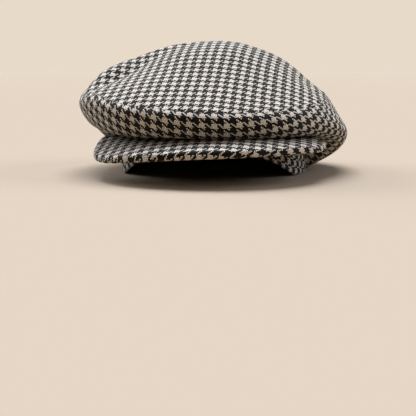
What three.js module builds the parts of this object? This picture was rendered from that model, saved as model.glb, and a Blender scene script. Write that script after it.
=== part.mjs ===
// Flat cap: a soft tweed crown sewn from two panels, and a stiff cloth-covered peak.
// Millimetres, +Z up. The cap stands on the rim of its head opening, on z = 0.
// The peak points to -Y and the wearer's left is +X.
// Directions round the cap are degrees from the front, positive towards the wearer's left.

import * as THREE from 'three';

// ---- Driving dimensions -------------------------------------------------------------

const HEAD_HALF_WIDTH = 83; // the head opening is an oval, 573 mm round
const HEAD_HALF_LENGTH = 99;
const CLOTH = 2; // tweed with its lining
const HEM = 3; // the cloth turned in along the head opening
const PEAK_THICKNESS = 6.5; // a board between two layers of tweed
const PEAK_CROWNING = 2.2; // the peak's middle rises this much above a straight way out to its edge
const PEAK_ROUNDED = 0.25; // the outer part of the peak's steps, where it thins to its rounded edge
const SEAM_GAP = 0.3; // kept between pieces that are sewn together

const DIRECTIONS = 72; // steps round the crown
const TOP_STEPS = 13; // steps from the crest to the seam
const SIDE_STEPS = 14; // steps from the seam to the rim, with the hem's
const HEM_STEPS = 2; // steps down the upright hem
const PEAK_STEPS_ACROSS = 44;
const PEAK_STEPS_OUT = 8;
const PEAK_CROWDING = 1.6; // draws the peak's steps together towards its edge

// The highest point of the crown, over the back of the head
const CREST = { x: -5, y: 50, height: 116.5 };

// The crown, one row for each direction. The top panel runs from the crest to the seam and
// passes innerHeight, middleHeight and outerHeight at the ways given in TOP_WAYS. Below the
// seam the side panel swells to the belly, turns under at the tuck and meets the upright hem,
// which stands round the head opening from hemHeight down to rimHeight.
const TOP_WAYS = [0, 0.3, 0.6, 0.85, 1];
const SHOULDER_SWELL = { reach: 1, height: 0.5 }; // out and up, halfway from the seam to the belly
const CROWN_SECTIONS = [
  { direction: -180, innerHeight: 113, middleHeight: 101, outerHeight: 80, seamReach: 122, seamHeight: 64,
    bellyReach: 128, bellyHeight: 38, tuckReach: 117, tuckHeight: 19, hemHeight: 5, rimHeight: 0 },
  { direction: -150, innerHeight: 113, middleHeight: 102, outerHeight: 85, seamReach: 122, seamHeight: 64,
    bellyReach: 127, bellyHeight: 42, tuckReach: 116, tuckHeight: 23, hemHeight: 5, rimHeight: 0 },
  { direction: -120, innerHeight: 113, middleHeight: 105, outerHeight: 91, seamReach: 119, seamHeight: 65,
    bellyReach: 123, bellyHeight: 49, tuckReach: 113, tuckHeight: 31, hemHeight: 6, rimHeight: 0 },
  { direction: -90, innerHeight: 112.5, middleHeight: 103.5, outerHeight: 92, seamReach: 118, seamHeight: 66.5,
    bellyReach: 119.5, bellyHeight: 57, tuckReach: 111, tuckHeight: 42, hemHeight: 12, rimHeight: 0 },
  { direction: -75, innerHeight: 110.5, middleHeight: 97, outerHeight: 86, seamReach: 118, seamHeight: 67.5,
    bellyReach: 120, bellyHeight: 56, tuckReach: 110, tuckHeight: 41.5, hemHeight: 31, rimHeight: 0 },
  { direction: -60, innerHeight: 108.5, middleHeight: 91, outerHeight: 77, seamReach: 118, seamHeight: 67.5,
    bellyReach: 120, bellyHeight: 55, tuckReach: 110, tuckHeight: 41, hemHeight: 36.5, rimHeight: 0 },
  { direction: -30, innerHeight: 107, middleHeight: 87, outerHeight: 72, seamReach: 118, seamHeight: 61.5,
    bellyReach: 121, bellyHeight: 51, tuckReach: 112, tuckHeight: 39.5, hemHeight: 37.5, rimHeight: 17 },
  { direction: 0, innerHeight: 106.5, middleHeight: 85.5, outerHeight: 67.3, seamReach: 118, seamHeight: 56,
    bellyReach: 121, bellyHeight: 46.5, tuckReach: 111, tuckHeight: 38.5, hemHeight: 40.5, rimHeight: 23 },
  { direction: 30, innerHeight: 107.5, middleHeight: 86.5, outerHeight: 67.5, seamReach: 114, seamHeight: 55.5,
    bellyReach: 119, bellyHeight: 45, tuckReach: 110, tuckHeight: 38.8, hemHeight: 40, rimHeight: 18 },
  { direction: 60, innerHeight: 109.5, middleHeight: 92, outerHeight: 74.5, seamReach: 107, seamHeight: 62,
    bellyReach: 117, bellyHeight: 42, tuckReach: 111, tuckHeight: 35, hemHeight: 36.5, rimHeight: 0 },
  { direction: 75, innerHeight: 111, middleHeight: 95.5, outerHeight: 77, seamReach: 103.5, seamHeight: 65,
    bellyReach: 119, bellyHeight: 37, tuckReach: 112.5, tuckHeight: 28, hemHeight: 27, rimHeight: 0 },
  { direction: 90, innerHeight: 112, middleHeight: 98.5, outerHeight: 79, seamReach: 102, seamHeight: 66.5,
    bellyReach: 120, bellyHeight: 33, tuckReach: 113, tuckHeight: 18.5, hemHeight: 3, rimHeight: 0 },
  { direction: 120, innerHeight: 113, middleHeight: 101, outerHeight: 83, seamReach: 108, seamHeight: 68,
    bellyReach: 124, bellyHeight: 32, tuckReach: 116, tuckHeight: 17, hemHeight: 3, rimHeight: 0 },
  { direction: 150, innerHeight: 113, middleHeight: 102, outerHeight: 84, seamReach: 118, seamHeight: 66,
    bellyReach: 127, bellyHeight: 35, tuckReach: 117, tuckHeight: 18, hemHeight: 4, rimHeight: 0 },
];

// Soft dents in the top panel, each a valley laid along one direction
const DENTS = [
  { name: 'left shoulder', x: -76, y: -36, turn: 40, length: 26, width: 10, depth: 3 },
];

// The peak, one row for each direction. Its edge lies at edgeReach and edgeHeight and its
// root, sewn to the hem, at rootHeight; both heights are to the middle of its thickness.
const PEAK_SECTIONS = [
  { direction: -70, edgeReach: 88, edgeHeight: 29, rootHeight: 26 },
  { direction: -66, edgeReach: 99.5, edgeHeight: 30.5, rootHeight: 27.5 },
  { direction: -60, edgeReach: 109.5, edgeHeight: 27, rootHeight: 30 },
  { direction: -52, edgeReach: 119.5, edgeHeight: 19.5, rootHeight: 30.5 },
  { direction: -36, edgeReach: 136, edgeHeight: 17.5, rootHeight: 31.5 },
  { direction: -18, edgeReach: 146, edgeHeight: 21.5, rootHeight: 33 },
  { direction: 0, edgeReach: 150, edgeHeight: 25, rootHeight: 34.5 },
  { direction: 18, edgeReach: 148, edgeHeight: 26.5, rootHeight: 34.5 },
  { direction: 36, edgeReach: 139, edgeHeight: 26.5, rootHeight: 33 },
  { direction: 52, edgeReach: 125, edgeHeight: 26, rootHeight: 31 },
  { direction: 60, edgeReach: 114, edgeHeight: 26.5, rootHeight: 29 },
  { direction: 66, edgeReach: 101, edgeHeight: 26.8, rootHeight: 26 },
  { direction: 70, edgeReach: 88, edgeHeight: 26.5, rootHeight: 24 },
];

const CLOTH_COLOUR = 0x8a857d; // black and cream tweed, seen from afar

// ---- Interpolation ------------------------------------------------------------------

// Cubic through four values at four places, for a place between the middle two
function between(places, values, place) {
  const [p0, p1, p2, p3] = places;
  const [v0, v1, v2, v3] = values;
  const span = p2 - p1;
  const t = (place - p1) / span;
  const slope1 = ((v2 - v0) / (p2 - p0)) * span;
  const slope2 = ((v3 - v1) / (p3 - p1)) * span;
  const t2 = t * t;
  const t3 = t2 * t;
  return (2 * t3 - 3 * t2 + 1) * v1 + (t3 - 2 * t2 + t) * slope1
    + (3 * t2 - 2 * t3) * v2 + (t3 - t2) * slope2;
}

// One column of a table that goes all the way round
function roundValue(rows, column, direction) {
  const count = rows.length;
  const turned = ((direction + 180) % 360 + 360) % 360 - 180;
  let k = count - 1;
  while (rows[k].direction > turned) k -= 1;
  const row = (n) => rows[(n + count) % count];
  const place = (n) => row(n).direction + 360 * Math.floor(n / count);
  const near = [k - 1, k, k + 1, k + 2];
  return between(near.map(place), near.map((n) => row(n)[column]), turned);
}

// One column of a table with two ends, which are repeated this many degrees further on
const DIRECTIONS_PAST_END = 8;
function openValue(rows, column, direction) {
  const last = rows.length - 1;
  let k = 0;
  while (k < last - 1 && rows[k + 1].direction < direction) k += 1;
  const near = [k - 1, k, k + 1, k + 2];
  const held = near.map((n) => Math.min(Math.max(n, 0), last));
  const places = near.map((n, i) => rows[held[i]].direction + DIRECTIONS_PAST_END * (n - held[i]));
  return between(places, held.map((n) => rows[n][column]), direction);
}

function pointAt(direction, reach, height) {
  const angle = THREE.MathUtils.degToRad(direction);
  return new THREE.Vector3(reach * Math.sin(angle), -reach * Math.cos(angle), height);
}

// Distance from the cap's axis to the oval of the head opening
function headReach(direction) {
  const angle = THREE.MathUtils.degToRad(direction);
  return 1 / Math.hypot(Math.sin(angle) / HEAD_HALF_WIDTH, Math.cos(angle) / HEAD_HALF_LENGTH);
}

// ---- Grids of points ----------------------------------------------------------------

function dentDepth(x, y) {
  return DENTS.reduce((sum, dent) => {
    const turn = THREE.MathUtils.degToRad(dent.turn);
    const along = (x - dent.x) * Math.cos(turn) + (y - dent.y) * Math.sin(turn);
    const across = (y - dent.y) * Math.cos(turn) - (x - dent.x) * Math.sin(turn);
    return sum + dent.depth * Math.exp(-((along / dent.length) ** 2) - (across / dent.width) ** 2);
  }, 0);
}

// A point of the top panel: way runs from 0 at the crest to 1 at the seam
function topPoint(direction, way) {
  const column = (name) => roundValue(CROWN_SECTIONS, name, direction);
  const seam = pointAt(direction, column('seamReach'), column('seamHeight'));
  const x = THREE.MathUtils.lerp(CREST.x, seam.x, way);
  const y = THREE.MathUtils.lerp(CREST.y, seam.y, way);
  const inner = column('innerHeight');
  const outer = column('outerHeight');
  const heights = [inner, CREST.height, inner, column('middleHeight'), outer, seam.z, 2 * seam.z - outer];
  const ways = [-TOP_WAYS[1], ...TOP_WAYS, 2 - TOP_WAYS[3]];
  let step = 0;
  while (step < 3 && TOP_WAYS[step + 1] < way) step += 1;
  const height = between(ways.slice(step, step + 4), heights.slice(step, step + 4), way);
  return new THREE.Vector3(x, y, height - dentDepth(x, y));
}

// The side panel's line from the seam down to the rim, at one direction
function sideLine(direction) {
  const column = (name) => roundValue(CROWN_SECTIONS, name, direction);
  const rim = Math.max(column('rimHeight'), 0);
  const hem = column('hemHeight');
  const head = headReach(direction);
  const seam = new THREE.Vector3(column('seamReach'), 0, topPoint(direction, 1).z);
  const belly = new THREE.Vector3(column('bellyReach'), 0, column('bellyHeight'));
  const tuck = new THREE.Vector3(column('tuckReach'), 0, column('tuckHeight'));
  const swell = new THREE.Vector3(SHOULDER_SWELL.reach, 0, SHOULDER_SWELL.height);
  const shoulder = seam.clone().lerp(belly, 0.5).add(swell);
  const foot = new THREE.Vector3(head, 0, hem);
  const curve = new THREE.CatmullRomCurve3([seam, shoulder, belly, tuck, foot], false, 'centripetal');
  return { curve, head, hem, rim };
}

function sideGrid() {
  const curved = SIDE_STEPS - HEM_STEPS;
  return rings((direction) => {
    const { curve, head, hem, rim } = sideLine(direction);
    const line = curve.getSpacedPoints(curved).map((p) => pointAt(direction, p.x, p.z));
    for (let n = 1; n <= HEM_STEPS; n += 1) {
      line.push(pointAt(direction, head, THREE.MathUtils.lerp(hem, rim, n / HEM_STEPS)));
    }
    return line;
  });
}

function topGrid() {
  return rings((direction) => {
    const line = [];
    for (let n = 0; n <= TOP_STEPS; n += 1) line.push(topPoint(direction, n / TOP_STEPS));
    return line;
  });
}

// A list of lines, one for each direction round the crown
function rings(lineAt) {
  const lines = [];
  for (let k = 0; k < DIRECTIONS; k += 1) lines.push(lineAt((360 * k) / DIRECTIONS));
  return lines;
}

// Outward normals of a closed ring of lines
function ringNormals(lines) {
  const count = lines.length;
  return lines.map((line, k) => line.map((point, n) => {
    const before = lines[(k + count - 1) % count];
    const after = lines[(k + 1) % count];
    const down = line[Math.min(n + 1, line.length - 1)].clone().sub(line[Math.max(n - 1, 0)]);
    const round = after[n].clone().sub(before[n]);
    return round.lengthSq() < 1e-9 ? new THREE.Vector3(0, 0, 1) : down.cross(round).normalize();
  }));
}

// ---- Solids -------------------------------------------------------------------------

class SolidBuilder {
  constructor() {
    this.positions = [];
    this.indices = [];
  }

  point(p) {
    this.positions.push(p.x, p.y, p.z);
    return this.positions.length / 3 - 1;
  }

  quad(a, b, c, d) {
    if (a !== b && b !== c) this.indices.push(a, b, c);
    if (a !== d && c !== d) this.indices.push(a, c, d);
  }

  geometry() {
    const geometry = new THREE.BufferGeometry();
    geometry.setAttribute('position', new THREE.Float32BufferAttribute(this.positions, 3));
    geometry.setIndex(this.indices);
    geometry.computeVertexNormals();
    return geometry;
  }
}

// A wall between an outer and an inner ring of lines, closed along both ends. With pole,
// the lines all start at one point on each face.
function wallGeometry(outer, inner, pole) {
  const solid = new SolidBuilder();
  const number = (lines) => {
    const first = pole ? solid.point(lines[0][0]) : -1;
    return lines.map((line) => line.map((p, n) => (pole && n === 0 ? first : solid.point(p))));
  };
  const out = number(outer);
  const into = number(inner);
  const count = outer.length;
  const last = outer[0].length - 1;
  for (let k = 0; k < count; k += 1) {
    const next = (k + 1) % count;
    for (let n = 0; n < last; n += 1) {
      solid.quad(out[k][n], out[k][n + 1], out[next][n + 1], out[next][n]);
      solid.quad(into[k][n], into[next][n], into[next][n + 1], into[k][n + 1]);
    }
    solid.quad(out[k][last], into[k][last], into[next][last], out[next][last]);
    if (!pole) solid.quad(out[k][0], out[next][0], into[next][0], into[k][0]);
  }
  return solid.geometry();
}

function clothMesh(name, geometry) {
  const material = new THREE.MeshStandardMaterial({ color: CLOTH_COLOUR, roughness: 0.95, metalness: 0 });
  const mesh = new THREE.Mesh(geometry, material);
  mesh.name = name;
  return mesh;
}

// The same lines moved inwards by the wall's thickness
function offsetLines(lines, normals, thicknessAt) {
  const moved = (p, k, n) => p.clone().addScaledVector(normals[k][n], -thicknessAt(n));
  return lines.map((line, k) => line.map((p, n) => moved(p, k, n)));
}

// Inner corner of the mitre where the two panels meet along the seam
function seamCorner(point, topNormal, sideNormal, thickness) {
  const sum = topNormal.clone().add(sideNormal);
  return point.clone().addScaledVector(sum, -thickness / (1 + topNormal.dot(sideNormal)));
}

function crown() {
  const top = topGrid();
  const side = sideGrid();
  const topNormals = ringNormals(top);
  const sideNormals = ringNormals(side);
  const topInner = offsetLines(top, topNormals, () => CLOTH);
  const sideInner = offsetLines(side, sideNormals, (n) => (n < SIDE_STEPS - 1 ? CLOTH : HEM));
  const seam = TOP_STEPS;
  for (let k = 0; k < DIRECTIONS; k += 1) {
    const cutBack = side[k][1].clone().sub(side[k][0]).setLength(SEAM_GAP);
    topInner[k][seam] = seamCorner(top[k][seam], topNormals[k][seam], sideNormals[k][0], CLOTH);
    side[k][0].add(cutBack);
    sideInner[k][0] = topInner[k][seam].clone().add(cutBack);
    for (const n of [SIDE_STEPS - 1, SIDE_STEPS]) sideInner[k][n].z = side[k][n].z;
  }
  return [
    clothMesh('crown_top', wallGeometry(top, topInner, true)),
    clothMesh('crown_side', wallGeometry(side, sideInner, false)),
  ];
}

function peak() {
  const solid = new SolidBuilder();
  const first = PEAK_SECTIONS[0].direction;
  const last = PEAK_SECTIONS[PEAK_SECTIONS.length - 1].direction;
  const upper = [];
  const lower = [];
  for (let k = 0; k <= PEAK_STEPS_ACROSS; k += 1) {
    const direction = THREE.MathUtils.lerp(first, last, k / PEAK_STEPS_ACROSS);
    const column = (name) => openValue(PEAK_SECTIONS, name, direction);
    const root = pointAt(direction, headReach(direction) + SEAM_GAP, column('rootHeight'));
    const edge = pointAt(direction, column('edgeReach'), column('edgeHeight'));
    const over = [];
    const under = [];
    for (let n = 0; n <= PEAK_STEPS_OUT; n += 1) {
      const way = n / PEAK_STEPS_OUT;
      const spread = 1 - (1 - way) ** PEAK_CROWDING;
      const rounded = Math.max(0, (way - 1 + PEAK_ROUNDED) / PEAK_ROUNDED);
      const rounding = Math.sqrt(1 - rounded ** 2);
      const middle = root.clone().lerp(edge, spread);
      middle.z += PEAK_CROWNING * Math.sin(Math.PI * spread);
      const half = new THREE.Vector3(0, 0, (PEAK_THICKNESS / 2) * rounding);
      over.push(solid.point(middle.clone().add(half)));
      under.push(rounding > 0 ? solid.point(middle.clone().sub(half)) : over[n]);
    }
    upper.push(over);
    lower.push(under);
  }
  for (let k = 0; k < PEAK_STEPS_ACROSS; k += 1) {
    for (let n = 0; n < PEAK_STEPS_OUT; n += 1) {
      solid.quad(upper[k][n], upper[k][n + 1], upper[k + 1][n + 1], upper[k + 1][n]);
      solid.quad(lower[k][n], lower[k + 1][n], lower[k + 1][n + 1], lower[k][n + 1]);
    }
    solid.quad(upper[k][0], upper[k + 1][0], lower[k + 1][0], lower[k][0]);
  }
  const end = PEAK_STEPS_ACROSS;
  for (let n = 0; n < PEAK_STEPS_OUT; n += 1) {
    solid.quad(upper[0][n], lower[0][n], lower[0][n + 1], upper[0][n + 1]);
    solid.quad(upper[end][n], upper[end][n + 1], lower[end][n + 1], lower[end][n]);
  }
  return clothMesh('peak', solid.geometry());
}

const cap = new THREE.Group();
cap.name = 'flat_cap';
cap.add(...crown(), peak());

// The origin is on the ground, under the middle of the cap from side to side and front to back
const middle = new THREE.Box3().setFromObject(cap).getCenter(new THREE.Vector3());
cap.position.set(-middle.x, -middle.y, 0);

export default cap;
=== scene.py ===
"""Flat cap in black and cream houndstooth tweed.

The crown is sewn from a top panel and a side panel that turns under all round to the hem of the
head opening. The peak is a stiff board covered in the same tweed. Sizes below are millimetres
about the cap's axis, the upright line through the middle of the head opening, unless a name says
otherwise. Directions round the cap are degrees from the front (-Y), positive towards the wearer's
left (+X). Blender's own units are metres.
"""

import math
from collections import namedtuple

import bmesh
import bpy
from bpy.props import FloatProperty, IntProperty, PointerProperty, StringProperty
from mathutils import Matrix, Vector, noise


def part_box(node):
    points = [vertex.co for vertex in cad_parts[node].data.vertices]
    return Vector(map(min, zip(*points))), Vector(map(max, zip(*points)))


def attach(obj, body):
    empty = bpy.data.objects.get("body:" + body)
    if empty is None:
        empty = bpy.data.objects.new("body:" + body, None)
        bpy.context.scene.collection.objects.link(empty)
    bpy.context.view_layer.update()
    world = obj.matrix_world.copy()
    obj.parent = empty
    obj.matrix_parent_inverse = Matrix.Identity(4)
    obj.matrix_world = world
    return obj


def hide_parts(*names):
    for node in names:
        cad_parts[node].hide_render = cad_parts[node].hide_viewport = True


bl_info = {
    "name": "Flat cap in houndstooth tweed",
    "version": (1, 0, 0),
    "blender": (4, 5, 0),
    "location": "3D View > Sidebar > Flat cap",
    "description": "Makes a soft flat cap: a crown of two tweed panels and a covered peak",
    "category": "Add Mesh",
}

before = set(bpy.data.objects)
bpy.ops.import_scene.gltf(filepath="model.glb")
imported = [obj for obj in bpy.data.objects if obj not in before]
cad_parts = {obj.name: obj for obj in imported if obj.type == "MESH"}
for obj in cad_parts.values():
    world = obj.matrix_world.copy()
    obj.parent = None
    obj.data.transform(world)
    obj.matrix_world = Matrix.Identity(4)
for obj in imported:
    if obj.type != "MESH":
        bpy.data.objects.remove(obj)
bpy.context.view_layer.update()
MM = 0.001

# ---- Shape of the cap ---------------------------------------------------------------------

HEAD_HALF_WIDTH = 83
HEAD_HALF_LENGTH = 99
CLOTH = 2
PEAK_THICKNESS = 6.5
PEAK_CROWNING = 2.2
CREST = Vector((-5, 50, 116.5))
TOP_SOLID_REACH = 118

CrownSection = namedtuple(
    "CrownSection",
    "direction inner middle outer seam_reach seam_height swell belly_reach belly_height"
    " tuck_reach tuck_height hem_height rim_height",
)
# Parts of the way from the crest to the seam where the inner, middle and outer heights stand.
# The swell is how far the side panel rounds out of the straight line from seam to belly.
TOP_WAYS = (0, 0.3, 0.6, 0.85, 1)
CROWN_SECTIONS = [
    CrownSection(-180, 113, 101, 80, 122, 64, 2.4, 128, 38, 117, 19, 5, 0),
    CrownSection(-150, 113, 101, 84, 122, 64.5, 2.4, 127, 42, 116, 23, 5, 0),
    CrownSection(-120, 113.3, 102, 88.5, 118.5, 67.5, 2.4, 123, 49, 113, 31, 6, 0),
    CrownSection(-90, 113, 101.8, 90, 115.5, 72, 2.6, 119.5, 57, 111, 42, 12, 0),
    CrownSection(-75, 110.5, 96, 87.5, 115.5, 72, 2.6, 120, 56, 110, 41.5, 31, 0),
    CrownSection(-60, 108.5, 91.3, 79, 117, 71.3, 2.4, 121, 58, 110, 40, 36, 0),
    CrownSection(-30, 107, 88, 73.3, 122.7, 63.6, 2.6, 126.7, 51.5, 118, 37.5, 37, 17),
    CrownSection(0, 106.5, 86.4, 68.2, 124.2, 57.7, 2.8, 127.8, 45.5, 120.3, 36.8, 39, 23),
    CrownSection(30, 107.5, 87.5, 68.8, 120.6, 57.9, 2.6, 125.3, 44.5, 117.5, 36.6, 38, 18),
    CrownSection(60, 109.5, 92, 74.5, 109.5, 62.5, 1.5, 118.5, 42.5, 112, 35.5, 36.5, 0),
    CrownSection(75, 111, 95, 76.5, 103, 65, 0.8, 118.5, 38, 112.5, 29.5, 27, 0),
    CrownSection(90, 112, 98.8, 78.2, 101, 66.5, 0.5, 119.5, 34.5, 113, 20.5, 3, 0),
    CrownSection(120, 113.5, 101.8, 82.5, 107, 68, 1.0, 124, 32, 116, 17, 3, 0),
    CrownSection(150, 113, 102, 84, 118, 66, 2.0, 127, 35, 117, 18, 4, 0),
]

PeakSection = namedtuple("PeakSection", "direction edge_reach edge_height root_height")
PEAK_SECTIONS = [
    PeakSection(-70, 88, 29, 26),
    PeakSection(-66, 97, 30.5, 27.5),
    PeakSection(-60, 107.5, 27, 30),
    PeakSection(-52, 119.5, 19.5, 30.5),
    PeakSection(-36, 136, 17.5, 30.5),
    PeakSection(-18, 146, 21.5, 31.5),
    PeakSection(0, 150, 25, 32.7),
    PeakSection(18, 148, 26.5, 32.7),
    PeakSection(36, 139, 26.5, 31.5),
    PeakSection(52, 125, 26, 31),
    PeakSection(60, 114, 26.5, 29),
    PeakSection(66, 101, 26.8, 26),
    PeakSection(70, 88, 26.5, 24),
]
PEAK_PAST_END = 8  # degrees from the last row to the one beyond it that the curve leans on

# Soft dents and creases in the crown. x and y are where one lies, turn is the way it runs in
# plan, and a negative depth is a ridge.
Dent = namedtuple("Dent", "x y turn length width depth")
DENTS = [
    Dent(-83, -24, 51, 36, 9.5, 5.3),
    Dent(83, 0, 80, 24, 6, 1.3),
    Dent(94, -5, 72, 16, 4.5, -1.2),
]
Crease = namedtuple("Crease", "direction down turn length width depth")
CREASES = [
    Crease(-62, 10, 62, 16, 4.0, 0.9),
    Crease(-50, 12, 50, 13, 3.5, 0.5),
    Crease(62, 14, -55, 20, 5.0, 0.9),
    Crease(80, 22, -72, 22, 6.0, 1.2),
    Crease(48, -9, -20, 22, 5.0, 0.7),
    Crease(72, -14, -60, 24, 6.0, 0.9),
    Crease(-38, -9, 25, 20, 5.0, 0.7),
    Crease(-112, 18, 80, 20, 6.0, 1.0),
    Crease(118, 26, 75, 22, 6.0, 1.0),
    Crease(150, 12, 85, 20, 6.0, 0.8),
    Crease(-152, 20, -80, 22, 6.0, 0.9),
]

# The grain of the top panel is turned this much from the cap's own front-to-back line
TOP_GRAIN_TURN = -0.5
# The side panel is cut as an arc. Along the belly, BELLY_DOWN below the seam, it is as long as
# the crown is round. Its grain lies along the belly at SIDE_GRAIN_AT from the middle of the
# front, and bends away from it with the arc's radius.
BELLY_DOWN = 11
SIDE_CUT_RADIUS = 320
SIDE_GRAIN_AT = 11
PEAK_STRETCH = 1.08
# How far each piece's cloth is slid, across and along its warp, before it is cut
TOP_SLIDE = Vector((-2.4, 0))
SIDE_SLIDE = Vector((-0.9, -0.8))
PEAK_SLIDE = Vector((2.9, -2.2))


def between(places, values, place):
    """Cubic through four values at four places, for a place between the middle two."""
    span = places[2] - places[1]
    t = (place - places[1]) / span
    slope_1 = (values[2] - values[0]) / (places[2] - places[0]) * span
    slope_2 = (values[3] - values[1]) / (places[3] - places[1]) * span
    return (
        (2 * t**3 - 3 * t**2 + 1) * values[1]
        + (t**3 - 2 * t**2 + t) * slope_1
        + (3 * t**2 - 2 * t**3) * values[2]
        + (t**3 - t**2) * slope_2
    )


def crown_section(direction):
    """The crown's sizes at any direction."""
    turned = (direction + 180) % 360 - 180
    count = len(CROWN_SECTIONS)
    k = max(n for n in range(count) if CROWN_SECTIONS[n].direction <= turned)
    near = [k - 1, k, k + 1, k + 2]
    rows = [CROWN_SECTIONS[n % count] for n in near]
    places = [row.direction + 360 * (n // count) for row, n in zip(rows, near)]
    sizes = [between(places, values, turned) for values in zip(*rows)]
    return CrownSection(*sizes)._replace(direction=turned)


def peak_section(direction):
    """The peak's sizes at any direction."""
    last = len(PEAK_SECTIONS) - 1
    k = max([n for n in range(last) if PEAK_SECTIONS[n].direction < direction] or [0])
    near = [k - 1, k, k + 1, k + 2]
    held = [min(max(n, 0), last) for n in near]
    rows = [PEAK_SECTIONS[n] for n in held]
    places = [row.direction + PEAK_PAST_END * (n - h) for row, n, h in zip(rows, near, held)]
    sizes = [between(places, values, direction) for values in zip(*rows)]
    return PeakSection(*sizes)._replace(direction=direction)


def point_at(direction, reach, height):
    """The point at a direction, a distance from the axis and a height."""
    angle = math.radians(direction)
    return Vector((reach * math.sin(angle), -reach * math.cos(angle), height))


def head_reach(direction):
    """Distance from the cap's axis to the oval of the head opening."""
    angle = math.radians(direction)
    return 1 / math.hypot(math.sin(angle) / HEAD_HALF_WIDTH, math.cos(angle) / HEAD_HALF_LENGTH)


def hollow(along, across, dent):
    """How deep a dent is, at a distance along and across its middle line."""
    return dent.depth * math.exp(-((along / dent.length) ** 2) - (across / dent.width) ** 2)


def top_point(section, way):
    """A point of the top panel. way runs from 0 at the crest to 1 at the seam."""
    seam = point_at(section.direction, section.seam_reach, section.seam_height)
    plan = CREST.lerp(seam, way)
    outward = 2 * seam.z - section.outer
    heights = (section.inner, CREST.z, section.inner, section.middle, section.outer, seam.z, outward)
    ways = (-TOP_WAYS[1], *TOP_WAYS, 2 - TOP_WAYS[3])
    step = sum(1 for end in TOP_WAYS[1:4] if end < way)
    plan.z = between(ways[step : step + 4], heights[step : step + 4], way)
    for dent in DENTS:
        turn = math.radians(dent.turn)
        x, y = plan.x - dent.x, plan.y - dent.y
        along = x * math.cos(turn) + y * math.sin(turn)
        across = y * math.cos(turn) - x * math.sin(turn)
        plan.z -= hollow(along, across, dent)
    return plan


def smooth_line(corners, steps):
    """Points, close together, of a centripetal curve through the corners."""
    ends = [2 * corners[0] - corners[1], *corners, 2 * corners[-1] - corners[-2]]
    line = []
    for p0, p1, p2, p3 in zip(ends, ends[1:], ends[2:], ends[3:]):
        gap_0, gap_1, gap_2 = (math.sqrt((b - a).length) for a, b in ((p0, p1), (p1, p2), (p2, p3)))
        out_1 = ((p1 - p0) / gap_0 - (p2 - p0) / (gap_0 + gap_1) + (p2 - p1) / gap_1) * gap_1
        out_2 = ((p2 - p1) / gap_1 - (p3 - p1) / (gap_1 + gap_2) + (p3 - p2) / gap_2) * gap_1
        for n in range(steps):
            t = n / steps
            line.append(
                (2 * t**3 - 3 * t**2 + 1) * p1
                + (t**3 - 2 * t**2 + t) * out_1
                + (3 * t**2 - 2 * t**3) * p2
                + (t**3 - t**2) * out_2
            )
    line.append(corners[-1].copy())
    return line


def spaced(line, shares):
    """Points at the given shares of a line's length."""
    lengths = [0.0]
    for a, b in zip(line, line[1:]):
        lengths.append(lengths[-1] + (b - a).length)
    found = []
    step = 0
    for share in shares:
        wanted = share * lengths[-1]
        while step < len(line) - 2 and lengths[step + 1] < wanted:
            step += 1
        part = (wanted - lengths[step]) / (lengths[step + 1] - lengths[step])
        found.append(line[step].lerp(line[step + 1], min(max(part, 0), 1)))
    return found


# ---- The crown ----------------------------------------------------------------------------

# Rows of points down the crown. The shares are of the way from the crest to the seam, of the
# curved way from the seam to the hem, and of the hem's height.
SEAM_ROWS = (0.7, 1.7, 3.2, 5.5)  # distances from the seam of the rows nearest to it
TOP_ROWS = 30
SIDE_ROWS = 20
HEM_SHARES = (0.15, 0.5, 0.85, 1.0)
COLUMNS = 144
BELLY_ROW = 8  # the row of the side panel that lies at the belly
CURVE_STEPS = 24  # points of the side panel's curve between two of its corners
HEM_BLEND_ROWS = 4  # rows above the hem over which ripples and creases die out
MERGE = 0.01  # points closer than this are one: the crest's, and the two edges at the back
BACK_SEAM_SHARE = 0.7  # depth of the back seam's groove, as a share of the top seam's
# Ripples in the pressed tweed: how close together, per metre, and how high, in millimetres
SLOW_RIPPLES, SLOW_HEIGHT = 26, 0.75
QUICK_RIPPLES, QUICK_HEIGHT = 75, 0.22
QUICK_START = Vector((3, 1, 7))
# The top panel is turned to fit its own front part, up to this far behind the axis, in metres
FRONT_PART_END = 0.02


def crown_column(direction):
    """The points down the crown at one direction, and how many of them are the top's."""
    section = crown_section(direction)
    reach = (top_point(section, 1) - top_point(section, 0)).length
    seam_ways = [1 - distance / reach for distance in reversed(SEAM_ROWS)]
    ways = [seam_ways[0] * n / TOP_ROWS for n in range(TOP_ROWS)] + seam_ways + [1]
    top = [top_point(section, way) for way in ways]

    # Between a level row and a raised one the curve dips below the floor
    rim = max(section.rim_height, 0)
    seam = Vector((section.seam_reach, 0, top[-1].z))
    belly = Vector((section.belly_reach, 0, section.belly_height))
    tuck = Vector((section.tuck_reach, 0, section.tuck_height))
    foot = Vector((head_reach(direction), 0, section.hem_height))
    out = Vector((seam.z - belly.z, 0, belly.x - seam.x)).normalized()
    shoulder = seam.lerp(belly, 0.5) + out * section.swell
    line = smooth_line([seam, shoulder, belly, tuck, foot], CURVE_STEPS)
    length = sum((b - a).length for a, b in zip(line, line[1:]))
    seam_shares = [distance / length for distance in SEAM_ROWS]
    shares = seam_shares + [
        seam_shares[-1] + (1 - seam_shares[-1]) * n / SIDE_ROWS for n in range(1, SIDE_ROWS + 1)
    ]
    side = [point_at(direction, p.x, p.z) for p in spaced(line, shares)]
    for share in HEM_SHARES:
        side.append(point_at(direction, foot.x, foot.z + (rim - foot.z) * share))
    return top + side, len(top)


def cap_axis():
    """Where the cap's axis stands in the frame, in metres. The top panel's solid reaches as
    far from it to the wearer's right as to the front."""
    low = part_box("crown_top")[0]
    return Vector((low.x + TOP_SOLID_REACH * MM, low.y + TOP_SOLID_REACH * MM, 0))


AXIS = cap_axis()


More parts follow.
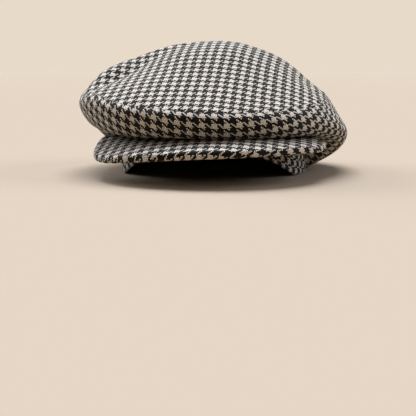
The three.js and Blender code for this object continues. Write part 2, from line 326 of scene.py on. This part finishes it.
def filled_grid(columns, rows, place):
    """A bmesh grid with the point that place gives in each column and row."""
    mesh = bmesh.new()
    bmesh.ops.create_grid(mesh, x_segments=columns, y_segments=rows, size=1)
    column_of = mesh.verts.layers.int.new("column")
    row_of = mesh.verts.layers.int.new("row")
    for v in mesh.verts:
        v[column_of] = round((v.co.x + 1) / 2 * columns)
        v[row_of] = round((v.co.y + 1) / 2 * rows)
    for v in mesh.verts:
        v.co = place(v[column_of], v[row_of]) * MM + AXIS
    return mesh


def lay_cloth(mesh, cloth_at):
    """Gives each corner of each face its place on the flat cloth, in millimetres."""
    column_of = mesh.verts.layers.int["column"]
    row_of = mesh.verts.layers.int["row"]
    cloth = mesh.loops.layers.uv.new("cloth")
    for face in mesh.faces:
        for loop in face.loops:
            loop[cloth].uv = cloth_at(loop.vert[column_of], loop.vert[row_of])


def ripple(point):
    """Soft unevenness of pressed tweed, in millimetres, at a point in metres."""
    slow = noise.noise(point * SLOW_RIPPLES)
    quick = noise.noise(point * QUICK_RIPPLES + QUICK_START)
    return SLOW_HEIGHT * slow + QUICK_HEIGHT * quick


def crown_mesh(seam_depth, seam_width):
    """The whole crown as one bmesh, with its creases, ripples and seam groove."""
    columns = [crown_column(360 * k / COLUMNS - 180)[0] for k in range(COLUMNS + 1)]
    top_count = crown_column(0)[1]
    rows = len(columns[0])
    downs = []
    for line in columns:
        ways = [0.0]
        for a, b in zip(line, line[1:]):
            ways.append(ways[-1] + (b - a).length)
        downs.append([way - ways[top_count - 1] for way in ways])

    belly = [line[top_count + BELLY_ROW] for line in columns]
    rounds = [0.0]
    for a, b in zip(belly, belly[1:]):
        rounds.append(rounds[-1] + (b - a).length)
    middle = rounds[COLUMNS // 2] + SIDE_GRAIN_AT

    def cloth_at(column, row):
        radius = SIDE_CUT_RADIUS + BELLY_DOWN - downs[column][row]
        angle = (rounds[column] - middle) / SIDE_CUT_RADIUS
        return Vector((radius * math.cos(angle), -radius * math.sin(angle))) + SIDE_SLIDE

    mesh = filled_grid(COLUMNS, rows - 1, lambda column, row: columns[column][row])
    bmesh.ops.reverse_faces(mesh, faces=mesh.faces)
    lay_cloth(mesh, cloth_at)
    bmesh.ops.remove_doubles(mesh, verts=mesh.verts, dist=MERGE * MM)
    mesh.normal_update()

    column_of = mesh.verts.layers.int["column"]
    row_of = mesh.verts.layers.int["row"]
    moved = []
    for v in mesh.verts:
        column, row = v[column_of], v[row_of]
        down = downs[column][row]
        direction = 360 * column / COLUMNS - 180
        # The ripples die out above the hem, which stands straight
        above_hem = rows - len(HEM_SHARES) - HEM_BLEND_ROWS
        hem_part = min(max((row - above_hem) / HEM_BLEND_ROWS, 0), 1)
        push = ripple(v.co) * (1 - hem_part)
        push -= seam_depth * math.exp(-((down / seam_width) ** 2))
        if row > top_count:
            back = min(column, COLUMNS - column) * rounds[-1] / COLUMNS
            groove = BACK_SEAM_SHARE * seam_depth * math.exp(-((back / seam_width) ** 2))
            push -= groove * (1 - hem_part)
        for crease in CREASES:
            round_way = ((direction - crease.direction + 180) % 360 - 180) * rounds[-1] / 360
            turn = math.radians(crease.turn)
            along = round_way * math.cos(turn) + (down - crease.down) * math.sin(turn)
            across = (down - crease.down) * math.cos(turn) - round_way * math.sin(turn)
            push -= hollow(along, across, crease) * (1 - hem_part)
        moved.append(v.co + v.normal * push * MM)
    for v, co in zip(mesh.verts, moved):
        v.co = co
    return mesh, top_count - 1


def keep_rows(mesh, low, high):
    """A copy of a grid's bmesh with only its faces between two rows."""
    part = mesh.copy()
    row_of = part.verts.layers.int["row"]
    away = [f for f in part.faces if not all(low <= v[row_of] <= high for v in f.verts)]
    bmesh.ops.delete(part, geom=away, context="FACES")
    return part


def to_object(mesh, name):
    """Turns a bmesh into an object with smooth faces, and links it to the scene."""
    for face in mesh.faces:
        face.smooth = True
    data = bpy.data.meshes.new(name)
    mesh.to_mesh(data)
    mesh.free()
    piece = bpy.data.objects.new(name, data)
    bpy.context.scene.collection.objects.link(piece)
    return piece


def thicken(piece, thickness, levels):
    """Gives a cloth piece its thickness, inwards, and rounds it."""
    wall = piece.modifiers.new("Cloth thickness", "SOLIDIFY")
    wall.thickness = thickness * MM
    wall.offset = -1
    wall.use_even_offset = True
    wall.use_quality_normals = True
    round_off = piece.modifiers.new("Rounding", "SUBSURF")
    round_off.levels = levels
    round_off.render_levels = levels


def unwrap_top(piece, turn):
    """Lays the top panel flat with the least stretch, in millimetres, and turns its grain."""
    bpy.context.view_layer.objects.active = piece
    piece.select_set(True)
    bpy.ops.object.mode_set(mode="EDIT")
    bpy.ops.mesh.select_all(action="SELECT")
    bpy.ops.uv.unwrap(method="MINIMUM_STRETCH", margin=0, iterations=30)
    bpy.ops.object.mode_set(mode="OBJECT")
    piece.select_set(False)

    data = piece.data
    cloth = data.uv_layers["cloth"].uv
    points = [data.vertices[loop.vertex_index].co for loop in data.loops]
    corners = [(cloth[k].vector.copy(), co) for k, co in enumerate(points)]
    flat_area = 0.0
    for face in data.polygons:
        ring = [cloth[k].vector for k in face.loop_indices]
        flat_area += abs(sum(a.cross(b) for a, b in zip(ring, ring[1:] + ring[:1]))) / 2
    scale = math.sqrt(sum(face.area for face in data.polygons) / flat_area) / MM

    # The turn that best lays the front part of the flat panel on its own plan
    front = [(uv, co) for uv, co in corners if co.y < AXIS.y + FRONT_PART_END]
    middle_uv = sum((uv for uv, co in front), Vector((0, 0))) / len(front)
    middle_co = sum((co.xy for uv, co in front), Vector((0, 0))) / len(front)
    dot = sum((uv - middle_uv).dot(co.xy - middle_co) for uv, co in front)
    cross = sum((uv - middle_uv).cross(co.xy - middle_co) for uv, co in front)
    angle = math.atan2(cross, dot) + math.radians(turn)
    for k, (uv, co) in enumerate(corners):
        part = (uv - middle_uv) * scale
        x = part.x * math.cos(angle) - part.y * math.sin(angle)
        y = part.x * math.sin(angle) + part.y * math.cos(angle)
        cloth[k].vector = Vector((x, y)) + TOP_SLIDE


# ---- The peak -----------------------------------------------------------------------------

PEAK_COLUMNS = 110
PEAK_FLAT_ROWS = 12
PEAK_EDGE_ROWS = 9
ROOT_CLEARANCE = 0.5  # from the oval of the head opening to the peak's root
EDGE_SHARE = 0.9  # of half the thickness: how far in from the edge the rounding starts
LEAST_FLAT = 0.2  # least share of the peak's reach that stays flat
EDGE_POWER = 0.8  # below 1 makes the rounded edge fuller than a half circle
PEAK_RIPPLE_SHARE = 0.35  # the stiff peak's ripples, as a share of the crown's
PEAK_RIPPLE_SPREAD = 1.3


def peak_profile(direction):
    """The points of the peak at one direction: out along the top, round the edge and back
    along the underside. With each goes how far it lies past the edge's own line."""
    section = peak_section(direction)
    root = point_at(direction, head_reach(direction) + ROOT_CLEARANCE, section.root_height)
    edge = point_at(direction, section.edge_reach, section.edge_height)
    half = PEAK_THICKNESS / 2
    reach = (edge - root).length
    flat = max(1 - EDGE_SHARE * half / reach, LEAST_FLAT)
    outward = point_at(direction, 1, 0)
    top, under = [], []
    for n in range(PEAK_FLAT_ROWS + 1):
        spread = flat * n / PEAK_FLAT_ROWS
        middle = root.lerp(edge, spread)
        middle.z += PEAK_CROWNING * math.sin(math.pi * spread)
        top.append((middle + Vector((0, 0, half)), 0.0))
        under.append((middle - Vector((0, 0, half)), 0.0))
    centre = (top[-1][0] + under[-1][0]) / 2
    round_edge = []
    for n in range(1, PEAK_EDGE_ROWS):
        angle = math.pi * n / PEAK_EDGE_ROWS
        out = (reach * (1 - flat)) * math.sin(angle) ** EDGE_POWER
        up = half * math.copysign(abs(math.cos(angle)) ** EDGE_POWER, math.cos(angle))
        past = half * angle
        round_edge.append((centre + outward * out + Vector((0, 0, up)), past))
    last = half * math.pi
    return top + round_edge + [(p, last) for p, past in reversed(under)]


def peak_mesh():
    """The peak as one closed bmesh, with the cloth laid over it."""
    first, last = PEAK_SECTIONS[0].direction, PEAK_SECTIONS[-1].direction
    directions = [first + (last - first) * k / PEAK_COLUMNS for k in range(PEAK_COLUMNS + 1)]
    profiles = [peak_profile(direction) for direction in directions]
    rows = len(profiles[0])

    def cloth_at(column, row):
        point, past = profiles[column][row]
        outward = point_at(directions[column], 1, 0)
        underneath = row > PEAK_FLAT_ROWS + PEAK_EDGE_ROWS - 1
        fold = profiles[column][PEAK_FLAT_ROWS][0]
        if row <= PEAK_FLAT_ROWS:
            flat = point
        elif not underneath:
            flat = fold + outward * past
        else:
            flat = fold + outward * (past + (fold.xy - point.xy).length)
        return Vector((flat.x / PEAK_STRETCH, flat.y)) + PEAK_SLIDE

    mesh = filled_grid(PEAK_COLUMNS, rows - 1, lambda column, row: profiles[column][row][0])
    bmesh.ops.reverse_faces(mesh, faces=mesh.faces)
    lay_cloth(mesh, cloth_at)
    mesh.normal_update()
    for v in mesh.verts:
        v.co += v.normal * PEAK_RIPPLE_SHARE * ripple(v.co * PEAK_RIPPLE_SPREAD) * MM
    rim = [e for e in mesh.edges if e.is_boundary]
    row_of = mesh.verts.layers.int["row"]
    open_root = [e for e in rim if all(v[row_of] in (0, rows - 1) for v in e.verts)]
    bmesh.ops.bridge_loops(mesh, edges=open_root)
    bmesh.ops.holes_fill(mesh, edges=[e for e in mesh.edges if e.is_boundary], sides=0)
    bmesh.ops.recalc_face_normals(mesh, faces=mesh.faces)
    return mesh


# ---- Materials ----------------------------------------------------------------------------


def linear(colour):
    """An sRGB hex colour as the linear one that shaders take."""
    values = [int(colour[k : k + 2], 16) / 255 for k in (1, 3, 5)]
    return tuple(v / 12.92 if v <= 0.04045 else ((v + 0.055) / 1.055) ** 2.4 for v in values)


def add_node(tree, kind, inputs=(), **settings):
    """Adds a node, sets it, and gives its inputs, by number or name, a value or a link."""
    node = tree.nodes.new(kind)
    for name, value in settings.items():
        setattr(node, name, value)
    pairs = inputs.items() if isinstance(inputs, dict) else enumerate(inputs)
    for key, value in pairs:
        if isinstance(value, bpy.types.NodeSocket):
            tree.links.new(value, node.inputs[key])
        elif value is not None:
            node.inputs[key].default_value = value
    return node


# The weave, counted in threads
REPEAT = 8.0  # four dark threads and four light ones
LIGHT_MIDDLE = 6.0  # where the middle of the light ones lies in the repeat
LIGHT_HALF_WIDTH = 1.85  # under 2, because the dark wool spreads over its neighbours
TWILL = 4.0  # over two and under two


def tweed(name, warp_pitch, weft_pitch, dark, light):
    """Houndstooth tweed: a two and two twill of thick carded woollen yarns, four dark and four
    light by turns both ways. It gives pointed checks with soft, hairy edges, a low relief of
    slanting floats, and almost no shine. The UV map called cloth is in millimetres, with the
    warp along V. Yarns are drawn at their real spacing."""
    material = bpy.data.materials.new(name)
    material.use_nodes = True
    tree = material.node_tree
    tree.nodes.clear()
    math_node = "ShaderNodeMath"

    place = add_node(tree, "ShaderNodeUVMap", uv_map="cloth").outputs["UV"]
    body = add_node(tree, "ShaderNodeTexCoord").outputs["Object"]

    # Hand of the loom: threads wander a little, and their edges are hairy
    drift = add_node(tree, "ShaderNodeTexNoise", {"Vector": place, "Scale": 0.07, "Detail": 2.0})
    hair = add_node(tree, "ShaderNodeTexNoise", {"Vector": place, "Scale": 1.6, "Detail": 3.0})
    drift_by = add_node(
        tree, "ShaderNodeVectorMath", [drift.outputs["Color"], (1.6, 1.6, 0), (-0.8, -0.8, 0)],
        operation="MULTIPLY_ADD",
    )
    hair_by = add_node(
        tree, "ShaderNodeVectorMath", [hair.outputs["Color"], (0.7, 0.7, 0), (-0.35, -0.35, 0)],
        operation="MULTIPLY_ADD",
    )
    wander = add_node(
        tree, "ShaderNodeVectorMath", [drift_by.outputs[0], hair_by.outputs[0]], operation="ADD"
    )
    threads = add_node(tree, "ShaderNodeVectorMath", [place, wander.outputs[0]], operation="ADD")
    split = add_node(tree, "ShaderNodeSeparateXYZ", [threads.outputs[0]])
    warp_at = add_node(tree, math_node, [split.outputs["X"], warp_pitch], operation="DIVIDE").outputs[0]
    weft_at = add_node(tree, math_node, [split.outputs["Y"], weft_pitch], operation="DIVIDE").outputs[0]
    warp = add_node(tree, math_node, [warp_at], operation="FLOOR").outputs[0]
    weft = add_node(tree, math_node, [weft_at], operation="FLOOR").outputs[0]
    over_warp = add_node(tree, math_node, [warp_at], operation="FRACT").outputs[0]
    over_weft = add_node(tree, math_node, [weft_at], operation="FRACT").outputs[0]

    # Two and two twill: which thread is on top, and how far along its float
    step = add_node(tree, math_node, [warp, weft], operation="SUBTRACT").outputs[0]
    phase = add_node(tree, math_node, [step, TWILL], operation="FLOORED_MODULO").outputs[0]
    warp_on_top = add_node(tree, math_node, [phase, 1.5], operation="LESS_THAN").outputs[0]

    # Four dark and four light threads by turns, both ways. The dark wool spreads a little over
    # the light threads beside it.
    def is_light(at):
        turn = add_node(tree, math_node, [at, REPEAT], operation="FLOORED_MODULO").outputs[0]
        past = add_node(tree, math_node, [turn, LIGHT_MIDDLE], operation="SUBTRACT").outputs[0]
        away = add_node(tree, math_node, [past], operation="ABSOLUTE").outputs[0]
        light_here = add_node(tree, math_node, [away, LIGHT_HALF_WIDTH], operation="LESS_THAN")
        return light_here.outputs[0]

    warp_light = is_light(warp_at)
    weft_light = is_light(weft_at)
    light_on_top = add_node(
        tree, "ShaderNodeMix", {"Factor": warp_on_top, "A": weft_light, "B": warp_light}
    ).outputs["Result"]
    light_below = add_node(
        tree, "ShaderNodeMix", {"Factor": warp_on_top, "A": warp_light, "B": weft_light}
    ).outputs["Result"]

    # Height of the yarn on top: round across, and rising and dipping along its float
    def float_height(across, along):
        side = add_node(tree, math_node, [across, 2.0, -1.0], operation="MULTIPLY_ADD").outputs[0]
        side_2 = add_node(tree, math_node, [side, side], operation="MULTIPLY").outputs[0]
        way = add_node(tree, math_node, [along, 1.0, -1.0], operation="MULTIPLY_ADD").outputs[0]
        way_2 = add_node(tree, math_node, [way, way], operation="MULTIPLY").outputs[0]
        rounded = add_node(tree, math_node, [side_2, -0.75, 1.0], operation="MULTIPLY_ADD").outputs[0]
        arched = add_node(tree, math_node, [way_2, -0.6, 1.0], operation="MULTIPLY_ADD").outputs[0]
        return add_node(tree, math_node, [rounded, arched], operation="MULTIPLY").outputs[0]

    back = add_node(tree, math_node, [over_weft, phase], operation="SUBTRACT").outputs[0]
    warp_way = add_node(tree, math_node, [back, 1.0], operation="ADD").outputs[0]
    forth = add_node(tree, math_node, [over_warp, phase], operation="ADD").outputs[0]
    weft_way = add_node(tree, math_node, [forth, 2.0], operation="SUBTRACT").outputs[0]
    warp_height = float_height(over_warp, warp_way)
    weft_height = float_height(over_weft, weft_way)
    height = add_node(
        tree, "ShaderNodeMix", {"Factor": warp_on_top, "A": weft_height, "B": warp_height}
    ).outputs["Result"]

    # Dark hairs close over the edges of a light float that crosses dark threads
    showing = add_node(tree, "ShaderNodeMapRange", [height, 0.42, 0.78, 0.0, 1.0]).outputs[0]
    open_to_light = add_node(tree, math_node, [showing, light_below], operation="MAXIMUM").outputs[0]
    lightness = add_node(tree, math_node, [light_on_top, open_to_light], operation="MULTIPLY").outputs[0]

    # Carded wool: flecks in the yarn, and loose pale and dark hairs across it
    fleck = add_node(
        tree, "ShaderNodeTexNoise",
        {"Vector": place, "Scale": 2.2, "Detail": 4.0, "Roughness": 0.7},
    )
    cloud = add_node(tree, "ShaderNodeTexNoise", {"Vector": body, "Scale": 45.0, "Detail": 3.0})
    in_dark = add_node(
        tree, "ShaderNodeMapRange", [fleck.outputs["Fac"], 0.5, 0.72, 0.0, 0.04]
    ).outputs[0]
    in_light = add_node(
        tree, "ShaderNodeMapRange", [fleck.outputs["Fac"], 0.32, 0.62, 0.74, 1.05]
    ).outputs[0]
    tint = add_node(
        tree, "ShaderNodeMix", {"Factor": lightness, "A": in_dark, "B": in_light}
    ).outputs["Result"]
    colour = add_node(
        tree, "ShaderNodeMix",
        {"Factor": tint, "A": (*linear(dark), 1), "B": (*linear(light), 1)}, data_type="RGBA",
    )
    # Painted shade and highlight on the yarns: each yarn's colour is darkened towards its edges, where
    # it dips beside its neighbours, and lightened on the crown of its float, as light would fall on the
    # relief. The cloud noise adds a soft unevenness of tone at random.
    depth = add_node(tree, "ShaderNodeMapRange", [height, 0.15, 0.95, 0.4, 1.3]).outputs[0]
    soft = add_node(tree, "ShaderNodeMapRange", [cloud.outputs["Fac"], 0.3, 0.7, 0.94, 1.05]).outputs[0]
    painted_shade_and_tone = add_node(tree, math_node, [depth, soft], operation="MULTIPLY").outputs[0]
    shaded = add_node(
        tree, "ShaderNodeVectorMath", {0: colour.outputs["Result"], "Scale": painted_shade_and_tone}, operation="SCALE"
    ).outputs[0]

    twist = add_node(
        tree, math_node, [fleck.outputs["Fac"], 0.5, height], operation="MULTIPLY_ADD"
    ).outputs[0]
    relief = add_node(
        tree, "ShaderNodeBump", {"Strength": 0.8, "Distance": 0.45 * MM, "Height": twist}
    )
    shader = add_node(
        tree, "ShaderNodeBsdfPrincipled",
        {
            "Base Color": shaded,
            "Roughness": 0.95,
            "Specular IOR Level": 0.15,
            "Sheen Weight": 0.05,
            "Sheen Roughness": 0.5,
            "Normal": relief.outputs["Normal"],
        },
    )
    add_node(tree, "ShaderNodeOutputMaterial", {"Surface": shader.outputs["BSDF"]})
    return material


FLOOR_HALF_SIZE = 30  # metres
FADE_START, FADE_END = 1.0, 12.0  # metres from the cap, where the floor turns paler


def studio_paint(near, far, bounce):
    """Matt studio paper: plain, pale and without shine, a little paler far off, so that it runs
    into the room without a line. The light it throws back up is dimmer and warmer than it looks,
    like the light from a wooden table."""
    material = bpy.data.materials.new("Matt studio paper")
    material.use_nodes = True
    tree = material.node_tree
    tree.nodes.clear()
    body = add_node(tree, "ShaderNodeTexCoord").outputs["Object"]
    away = add_node(tree, "ShaderNodeVectorMath", [body], operation="LENGTH").outputs["Value"]
    share = add_node(
        tree, "ShaderNodeMapRange", [away, FADE_START, FADE_END], interpolation_type="SMOOTHSTEP"
    ).outputs[0]
    colour = add_node(
        tree, "ShaderNodeMix",
        {"Factor": share, "A": (*linear(near), 1), "B": (*linear(far), 1)}, data_type="RGBA",
    ).outputs["Result"]
    seen = add_node(tree, "ShaderNodeLightPath").outputs["Is Camera Ray"]
    shown = add_node(
        tree, "ShaderNodeMix", {"Factor": seen, "A": (*linear(bounce), 1), "B": colour},
        data_type="RGBA",
    ).outputs["Result"]
    shader = add_node(
        tree, "ShaderNodeBsdfPrincipled",
        {"Base Color": shown, "Roughness": 0.9, "Specular IOR Level": 0.0},
    )
    add_node(tree, "ShaderNodeOutputMaterial", {"Surface": shader.outputs["BSDF"]})
    return material


def dress(piece, node, material):
    """Makes a finished piece stand for its solid in the frame."""
    piece.data.materials.append(material)
    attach(piece, "root")
    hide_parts(node)


# ---- Lights and camera --------------------------------------------------------------------

# Degrees: behind the cap, to the wearer's left of it, and how wide the soft light spreads
Lamp = namedtuple("Lamp", "name colour strength behind to_the_left spread")
WEARERS_RIGHT_SHARE = 2.5  # strength of the light at the wearer's right, in side lights
WEARERS_LEFT_SHARE = 1.5
SOFTBOX_COLOUR = "#fbfcff"
WARM_WALL_COLOUR = "#ffe9d3"
DIM_ROOM_COLOUR = "#ffdcb4"
CAMERA_PLACE = Vector((84.4, -855.9, 91.4))
CAMERA_DOWN = 8.4  # degrees below level
CAMERA_ROUND = 6  # degrees round towards the wearer's left
SENSOR_WIDTH = 36


# ---- The add-on ---------------------------------------------------------------------------


class FlatCapTweed(bpy.types.PropertyGroup):
    """The cloth."""

    warp_pitch: FloatProperty(
        name="Warp spacing", description="Millimetres from one warp thread to the next",
        default=1.0, min=0.3, max=4,
    )
    weft_pitch: FloatProperty(
        name="Weft spacing", description="Millimetres from one weft thread to the next",
        default=1.2, min=0.3, max=4,
    )
    dark: StringProperty(
        name="Dark yarn", description="sRGB colour of the dark yarn", default="#0d0f12",
    )
    light: StringProperty(
        name="Light yarn", description="sRGB colour of the light yarn", default="#ddd9d2",
    )
    rounding: IntProperty(
        name="Rounding", description="Subdivision levels of each piece", default=1, min=0, max=2,
    )


class FlatCapSeams(bpy.types.PropertyGroup):
    """The seams."""

    depth: FloatProperty(
        name="Depth", description="How deep a seam pulls the cloth in, in millimetres",
        default=0.7, min=0, max=4,
    )
    width: FloatProperty(
        name="Width", description="Half width of the groove along a seam, in millimetres",
        default=2.2, min=0.5, max=8,
    )


class FlatCapStage(bpy.types.PropertyGroup):
    """The floor, the lights and the camera."""

    floor: StringProperty(
        name="Floor", description="sRGB colour of the floor and backdrop", default="#a89d90",
    )
    far_floor: StringProperty(
        name="Far floor", description="sRGB colour of the floor far behind the cap",
        default="#aaa093",
    )
    bounce: StringProperty(
        name="Bounce", description="sRGB colour of the light the floor throws back up",
        default="#a08e78",
    )
    room: StringProperty(
        name="Room", description="sRGB colour of the room beyond the floor", default="#e8dac8",
    )
    key_strength: FloatProperty(
        name="Overhead light", description="Strength of the large soft light overhead, in W/m2",
        default=4.95, min=0,
    )
    side_strength: FloatProperty(
        name="Side lights", description="Strength of the soft lights at the sides, in W/m2",
        default=0.9, min=0,
    )
    fill_strength: FloatProperty(
        name="Front fill", description="Strength of the warm light from the front, in W/m2",
        default=0.45, min=0,
    )
    key_tilt: FloatProperty(
        name="Overhead light's tilt", description="Degrees that it stands behind the cap",
        default=23, min=-80, max=80,
    )
    sky: FloatProperty(
        name="Room light", description="Strength of the light from all round",
        default=0.06, min=0,
    )
    lens: FloatProperty(
        name="Lens", description="Focal length on a 36 mm sensor", default=82.2, min=10, max=300,
        unit="CAMERA",
    )


def tweed_of_the_cap():
    """The one tweed of all three pieces, made the first time it is asked for."""
    cloth = bpy.context.scene.flat_cap_tweed
    name = "Houndstooth tweed, carded wool"
    return bpy.data.materials.get(name) or tweed(
        name, cloth.warp_pitch, cloth.weft_pitch, cloth.dark, cloth.light
    )


class FLATCAP_OT_crown(bpy.types.Operator):
    """Makes the crown: its top panel and its side panel, sewn together"""

    bl_idname = "flat_cap.crown"
    bl_label = "Crown"

    def execute(self, context):
        seams = context.scene.flat_cap_seams
        rounding = context.scene.flat_cap_tweed.rounding
        whole, seam_row = crown_mesh(seams.depth, seams.width)
        last_row = max(v[whole.verts.layers.int["row"]] for v in whole.verts)
        top = to_object(keep_rows(whole, 0, seam_row), "top_panel")
        side = to_object(keep_rows(whole, seam_row, last_row), "side_panel")
        whole.free()
        unwrap_top(top, TOP_GRAIN_TURN)
        thicken(top, CLOTH, rounding)
        thicken(side, CLOTH, rounding)
        dress(top, "crown_top", tweed_of_the_cap())
        dress(side, "crown_side", tweed_of_the_cap())
        return {"FINISHED"}


class FLATCAP_OT_peak(bpy.types.Operator):
    """Makes the peak, a board covered in tweed"""

    bl_idname = "flat_cap.peak"
    bl_label = "Peak"

    def execute(self, context):
        peak = to_object(peak_mesh(), "covered_peak")
        round_off = peak.modifiers.new("Rounding", "SUBSURF")
        round_off.levels = context.scene.flat_cap_tweed.rounding
        round_off.render_levels = round_off.levels
        dress(peak, "peak", tweed_of_the_cap())
        return {"FINISHED"}


class FLATCAP_OT_stage(bpy.types.Operator):
    """Makes the floor and backdrop, the lights and the camera"""

    bl_idname = "flat_cap.stage"
    bl_label = "Stage"

    def execute(self, context):
        stage = context.scene.flat_cap_stage
        ground = bmesh.new()
        bmesh.ops.create_grid(ground, x_segments=1, y_segments=1, size=FLOOR_HALF_SIZE)
        floor = to_object(ground, "studio_floor")
        floor.data.materials.append(studio_paint(stage.floor, stage.far_floor, stage.bounce))

        at_right = WEARERS_RIGHT_SHARE * stage.side_strength
        at_left = WEARERS_LEFT_SHARE * stage.side_strength
        lamps = (
            Lamp("large_softbox_overhead", SOFTBOX_COLOUR, stage.key_strength, stage.key_tilt, -6, 46),
            Lamp("softbox_wearers_right", SOFTBOX_COLOUR, at_right, 28, -62, 42),
            Lamp("softbox_wearers_left", SOFTBOX_COLOUR, at_left, 12, 62, 42),
            Lamp("warm_wall_in_front", WARM_WALL_COLOUR, stage.fill_strength, -50, 0, 42),
        )
        for lamp in lamps:
            sun = bpy.data.lights.new(lamp.name, "SUN")
            sun.energy = lamp.strength
            sun.color = linear(lamp.colour)
            sun.angle = math.radians(lamp.spread)
            light = bpy.data.objects.new(lamp.name, sun)
            light.rotation_euler = (math.radians(-lamp.behind), math.radians(lamp.to_the_left), 0)
            context.scene.collection.objects.link(light)

        # The room gives the cap little light, and is as pale as the backdrop where it shows
        world = bpy.data.worlds.new("Room")
        world.use_nodes = True
        tree = world.node_tree
        tree.nodes.clear()
        seen = add_node(tree, "ShaderNodeLightPath").outputs["Is Camera Ray"]
        dim = add_node(tree, "ShaderNodeBackground", [(*linear(DIM_ROOM_COLOUR), 1), stage.sky])
        pale = add_node(tree, "ShaderNodeBackground", [(*linear(stage.room), 1), 1.0])
        room = add_node(tree, "ShaderNodeMixShader", [seen, dim.outputs[0], pale.outputs[0]])
        add_node(tree, "ShaderNodeOutputWorld", {"Surface": room.outputs[0]})
        context.scene.world = world
        context.scene.view_settings.view_transform = "Standard"

        lens = bpy.data.cameras.new("camera")
        lens.lens = stage.lens
        lens.sensor_width = SENSOR_WIDTH
        camera = bpy.data.objects.new("camera", lens)
        camera.location = AXIS + CAMERA_PLACE * MM
        camera.rotation_euler = (math.radians(90 - CAMERA_DOWN), 0, math.radians(CAMERA_ROUND))
        context.scene.collection.objects.link(camera)
        context.scene.camera = camera
        return {"FINISHED"}


class FLATCAP_PT_panel(bpy.types.Panel):
    """Lists what the cap is made of"""

    bl_idname = "FLATCAP_PT_panel"
    bl_label = "Flat cap"
    bl_space_type = "VIEW_3D"
    bl_region_type = "UI"
    bl_category = "Flat cap"

    def draw(self, context):
        for group in (
            context.scene.flat_cap_tweed, context.scene.flat_cap_seams, context.scene.flat_cap_stage,
        ):
            for name in group.__annotations__:
                self.layout.prop(group, name)
        for operator in OPERATORS:
            self.layout.operator(operator.bl_idname)


OPERATORS = (FLATCAP_OT_crown, FLATCAP_OT_peak, FLATCAP_OT_stage)
CLASSES = (FlatCapTweed, FlatCapSeams, FlatCapStage, *OPERATORS, FLATCAP_PT_panel)


def register():
    for one in CLASSES:
        bpy.utils.register_class(one)
    bpy.types.Scene.flat_cap_tweed = PointerProperty(type=FlatCapTweed)
    bpy.types.Scene.flat_cap_seams = PointerProperty(type=FlatCapSeams)
    bpy.types.Scene.flat_cap_stage = PointerProperty(type=FlatCapStage)


def unregister():
    del bpy.types.Scene.flat_cap_tweed
    del bpy.types.Scene.flat_cap_seams
    del bpy.types.Scene.flat_cap_stage
    for one in reversed(CLASSES):
        bpy.utils.unregister_class(one)


def main():
    register()
    bpy.ops.flat_cap.crown()
    bpy.ops.flat_cap.peak()
    bpy.ops.flat_cap.stage()


if __name__ == "__main__":
    main()
